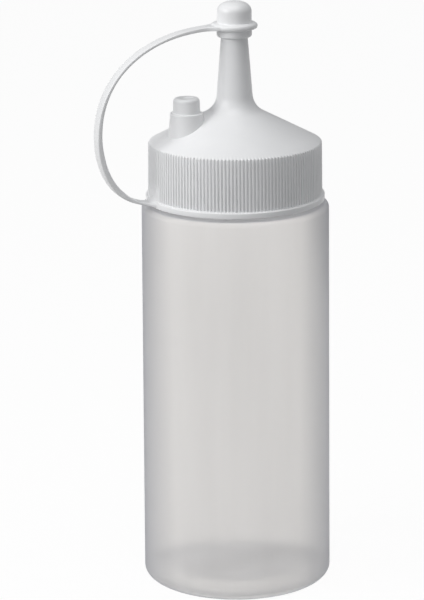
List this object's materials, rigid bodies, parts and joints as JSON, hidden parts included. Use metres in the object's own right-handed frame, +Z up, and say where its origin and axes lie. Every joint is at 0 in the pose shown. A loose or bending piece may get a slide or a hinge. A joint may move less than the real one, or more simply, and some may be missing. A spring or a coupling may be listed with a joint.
{
  "type": "sauce bottle",
  "caption": "Tall squeeze bottle for sauce with a ribbed screw lid, a tapered pouring nozzle, a parking post and a nozzle cap that flips open on a bent strap.",
  "frame": {"origin": "centre of the bottle's standing ring, on the surface it stands on, on the bottle's axis", "axes": "+Z up along the bottle's axis towards the nozzle; the front, as pictured, faces -Y, and the strap leaves to the left, at -X and 22 degrees towards the front"},
  "size_m": [0.0873, 0.0712, 0.2215],
  "materials": {
    "bottle_plastic": "milky translucent, satin",
    "lid_plastic": "white, soft satin gloss",
    "seal_rubber": "smooth"
  },
  "bodies": {
    "bottle": {"bottle": "bottle_plastic"},
    "seal": {"seal_ring": "seal_rubber"},
    "lid": {"screw_lid": "lid_plastic"},
    "strap_1": {"strap_1": "lid_plastic"},
    "strap_2": {"strap_2": "lid_plastic"},
    "strap_3": {"strap_3": "lid_plastic"},
    "strap_4": {"strap_4": "lid_plastic"},
    "strap_5": {"strap_5": "lid_plastic"},
    "strap_6": {"strap_6": "lid_plastic"},
    "strap_7": {"strap_7": "lid_plastic"},
    "strap_8": {"strap_8": "lid_plastic"},
    "cap": {"nozzle_cap": "lid_plastic"}
  },
  "joints": [
    {"name": "seal_lift", "type": "slide", "parent": "bottle", "child": "seal", "axis": [0, 0, 1], "range_m": [0, 0.006]},
    {"name": "lid_turn", "type": "hinge", "parent": "seal", "child": "lid", "pos_m": [0, 0, 0.1472], "axis": [0, 0, 1], "range_deg": [0, 540.5]},
    {"name": "strap_bend_1", "type": "hinge", "parent": "lid", "child": "strap_1", "pos_m": [-0.03692, -0.01492, 0.14988], "axis": [0.3746, -0.9272, 0], "range_deg": [-9.7, 0]},
    {"name": "strap_bend_2", "type": "hinge", "parent": "strap_1", "child": "strap_2", "pos_m": [-0.04453, -0.01799, 0.15603], "axis": [0.3746, -0.9272, 0], "range_deg": [-4.9, 0]},
    {"name": "strap_bend_3", "type": "hinge", "parent": "strap_2", "child": "strap_3", "pos_m": [-0.04859, -0.01963, 0.16502], "axis": [0.3746, -0.9272, 0], "range_deg": [0, 4.9]},
    {"name": "strap_bend_4", "type": "hinge", "parent": "strap_3", "child": "strap_4", "pos_m": [-0.04979, -0.02012, 0.1747], "axis": [0.3746, -0.9272, 0], "range_deg": [0, 12.9]},
    {"name": "strap_bend_5", "type": "hinge", "parent": "strap_4", "child": "strap_5", "pos_m": [-0.04802, -0.0194, 0.18662], "axis": [0.3746, -0.9272, 0], "range_deg": [0, 22.5]},
    {"name": "strap_bend_6", "type": "hinge", "parent": "strap_5", "child": "strap_6", "pos_m": [-0.04309, -0.01741, 0.19638], "axis": [0.3746, -0.9272, 0], "range_deg": [0, 27.3]},
    {"name": "strap_bend_7", "type": "hinge", "parent": "strap_6", "child": "strap_7", "pos_m": [-0.03552, -0.01435, 0.20389], "axis": [0.3746, -0.9272, 0], "range_deg": [0, 32.1]},
    {"name": "strap_bend_8", "type": "hinge", "parent": "strap_7", "child": "strap_8", "pos_m": [-0.02586, -0.01045, 0.20905], "axis": [0.3746, -0.9272, 0], "range_deg": [0, 32.1]},
    {"name": "cap_flip", "type": "hinge", "parent": "strap_8", "child": "cap", "pos_m": [-0.01466, -0.00592, 0.21175], "axis": [0.3746, -0.9272, 0], "range_deg": [0, 32]}
  ],
  "couplings": [
    {"joint": "lid_turn", "follows": "seal_lift", "rad_per_m": 1570.8},
    {"joint": "strap_bend_1", "follows": "cap_flip", "ratio": -0.3},
    {"joint": "strap_bend_2", "follows": "cap_flip", "ratio": -0.15},
    {"joint": "strap_bend_3", "follows": "cap_flip", "ratio": 0.15},
    {"joint": "strap_bend_4", "follows": "cap_flip", "ratio": 0.4},
    {"joint": "strap_bend_5", "follows": "cap_flip", "ratio": 0.7},
    {"joint": "strap_bend_6", "follows": "cap_flip", "ratio": 0.85},
    {"joint": "strap_bend_7", "follows": "cap_flip", "ratio": 1},
    {"joint": "strap_bend_8", "follows": "cap_flip", "ratio": 1}
  ]
}
